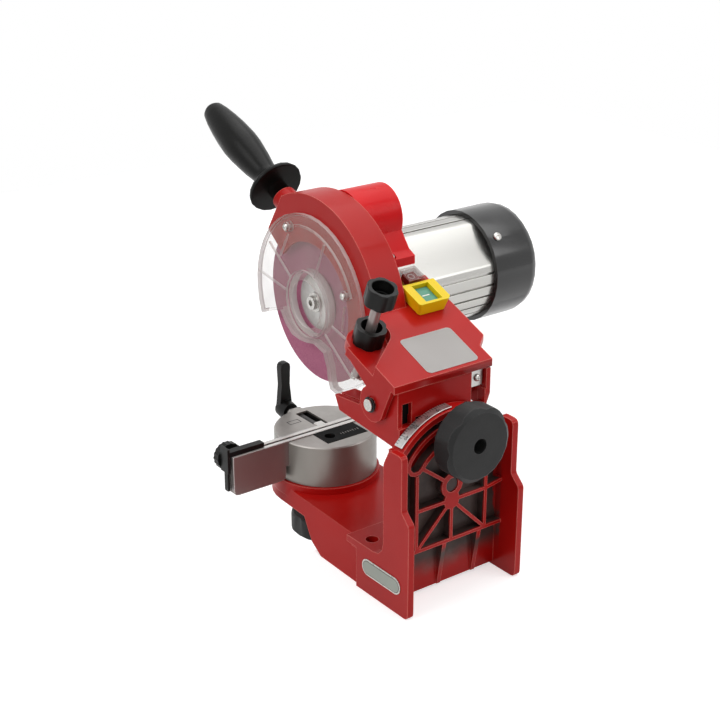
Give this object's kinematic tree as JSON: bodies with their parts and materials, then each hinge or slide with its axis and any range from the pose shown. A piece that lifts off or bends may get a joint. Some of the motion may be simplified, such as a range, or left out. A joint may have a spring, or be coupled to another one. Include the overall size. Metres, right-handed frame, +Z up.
{
  "type": "electric chainsaw chain sharpener",
  "caption": "Bench-mounted electric chain grinder: tilting motor head with a guarded grinding disc over a swivelling chain vise.",
  "frame": {"origin": "on the bench plane, midway between the two bench bolts", "axes": "+Z up, +X along the motor shaft towards the grinding wheel's open side, +Y towards the ribbed rear plate"},
  "size_m": [0.3212, 0.3945, 0.3621],
  "materials": {
    "abrasive": "vitrified grit, pink",
    "aluminium": "ribbed extruded aluminium",
    "black_plastic": "satin black plastic",
    "clear_plastic": "clear moulded plastic",
    "gloss_black": "gloss black plastic",
    "green_plastic": "green moulded plastic",
    "grey_plastic": "dark grey moulded plastic",
    "grip_rubber": "moulded grip",
    "laminations": "stacked laminations with copper windings",
    "polished_steel": "polished steel",
    "red_button": "red moulded plastic",
    "red_paint": "glossy red enamel on a casting",
    "red_plastic": "bright red moulded plastic",
    "satin_iron": "machined satin grey",
    "spring_steel": "oiled spring steel",
    "steel": "bright turned steel",
    "strip_metal": "engraved scale strip",
    "yellow_plastic": "yellow moulded plastic",
    "zinc": "zinc plated"
  },
  "bodies": {
    "base": {"base_casting": "red_paint", "tilt_scale_strip": "strip_metal"},
    "vise_lock": {"vise_lock_knob": "grey_plastic"},
    "bracket": {"tilt_bracket": "red_paint", "tilt_pivot_bolt": "steel", "tilt_clamp_stud": "steel", "tilt_clamp_washer": "zinc", "hinge_pin": "steel", "hinge_circlip_near": "black_plastic", "hinge_circlip_far": "black_plastic", "return_spring": "spring_steel", "keeper_plate": "zinc", "keeper_screw": "steel"},
    "tilt_knob": {"tilt_clamp_knob": "grey_plastic"},
    "head": {"head_casting": "red_paint", "capacitor_cover": "red_plastic", "run_capacitor": "zinc", "motor_front_shield": "aluminium", "motor_housing": "aluminium", "stator_core": "laminations", "front_bearing": "steel", "motor_rear_shield": "aluminium", "rear_bearing": "steel", "motor_end_cap": "gloss_black", "end_cap_screw": "steel", "handle_stud": "steel", "handle_grip": "grip_rubber", "wheel_guard": "clear_plastic", "guard_screw_upper": "steel", "guard_screw_rear": "steel", "guard_screw_foot": "steel", "cover_screw": "steel", "switch_bezel": "yellow_plastic"},
    "spindle": {"grinding_wheel": "abrasive", "inner_flange": "steel", "outer_flange": "zinc", "arbor_screw": "steel", "rotor_shaft": "steel", "cooling_fan": "black_plastic"},
    "depth_screw": {"depth_screw": "polished_steel"},
    "depth_knob": {"depth_knob": "black_plastic"},
    "depth_lock": {"depth_lock_knob": "black_plastic"},
    "on_button": {"on_button": "green_plastic"},
    "off_button": {"off_button": "red_button"},
    "switch_flap": {"switch_flap": "clear_plastic"},
    "vise": {"vise_disc": "satin_iron", "fixed_jaw": "polished_steel", "vise_insert": "black_plastic", "vise_pivot_bolt": "steel"},
    "jaw": {"movable_jaw": "polished_steel", "clamp_rod": "steel"},
    "clamp_lever": {"clamp_lever": "black_plastic"},
    "chain_stop": {"chain_stop": "black_plastic"},
    "stop_knob": {"stop_adjust_knob": "black_plastic"}
  },
  "joints": [
    {"name": "head_tilt", "type": "hinge", "parent": "base", "child": "bracket", "pos_m": [0, 0.035, 0.0952], "axis": [0, 1, 0], "range_deg": [0, 50]},
    {"name": "tilt_clamp", "type": "hinge", "parent": "bracket", "child": "tilt_knob", "pos_m": [0, 0.06, 0.1417], "axis": [0, 1, 0], "range_deg": [0, 180]},
    {"name": "head_lower", "type": "hinge", "parent": "bracket", "child": "head", "pos_m": [0, 0.001, 0.1645], "axis": [1, 0, 0], "range_deg": [0, 11], "stiffness_Nm_per_rad": 7, "springref_deg": -97.4},
    {"name": "wheel_spin", "type": "hinge", "parent": "head", "child": "spindle", "pos_m": [0, -0.138, 0.1995], "axis": [1, 0, 0], "continuous": true},
    {"name": "depth_slide", "type": "slide", "parent": "head", "child": "depth_screw", "axis": [0, -0.3665, -0.9304], "range_m": [-0.0025, 0.0025]},
    {"name": "depth_turn", "type": "hinge", "parent": "depth_screw", "child": "depth_knob", "pos_m": [0.03, -0.0278, 0.21127], "axis": [0, -0.3665, -0.9304], "range_deg": [-720, 720]},
    {"name": "depth_lock_turn", "type": "hinge", "parent": "head", "child": "depth_lock", "pos_m": [0.03, -0.0278, 0.21127], "axis": [0, -0.3665, -0.9304], "range_deg": [-180, 180]},
    {"name": "on_press", "type": "slide", "parent": "head", "child": "on_button", "axis": [0, -0.3665, -0.9304], "range_m": [0, 0.0025], "stiffness_N_per_m": 300, "springref_m": -0.002},
    {"name": "off_press", "type": "slide", "parent": "head", "child": "off_button", "axis": [0, -0.3665, -0.9304], "range_m": [0, 0.0025], "stiffness_N_per_m": 300, "springref_m": -0.002},
    {"name": "flap_lift", "type": "hinge", "parent": "head", "child": "switch_flap", "pos_m": [-0.03735, -0.06897, 0.23329], "axis": [1, 0, 0], "range_deg": [0, 90]},
    {"name": "vise_swivel", "type": "hinge", "parent": "base", "child": "vise", "pos_m": [0, -0.133, 0.06], "axis": [0, 0, 1], "range_deg": [-35, 35]},
    {"name": "vise_lock_turn", "type": "hinge", "parent": "base", "child": "vise_lock", "pos_m": [0, -0.133, 0], "axis": [0, 0, 1], "range_deg": [0, 180]},
    {"name": "jaw_slide", "type": "slide", "parent": "vise", "child": "jaw", "axis": [0, 1, 0], "range_m": [0, 0.0015]},
    {"name": "clamp_turn", "type": "hinge", "parent": "jaw", "child": "clamp_lever", "pos_m": [0, -0.194, 0.0758], "axis": [0, 1, 0], "range_deg": [0, 180]},
    {"name": "stop_slide", "type": "slide", "parent": "vise", "child": "chain_stop", "axis": [1, 0, 0], "range_m": [-0.0016, 0.0016]},
    {"name": "stop_turn", "type": "hinge", "parent": "chain_stop", "child": "stop_knob", "pos_m": [0.0966, -0.1427, 0.0769], "axis": [0, 1, 0], "range_deg": [-180, 180]}
  ],
  "couplings": [
    {"joint": "depth_turn", "follows": "depth_slide", "rad_per_m": 5021.5},
    {"joint": "clamp_turn", "follows": "jaw_slide", "rad_per_m": 2092.3}
  ]
}
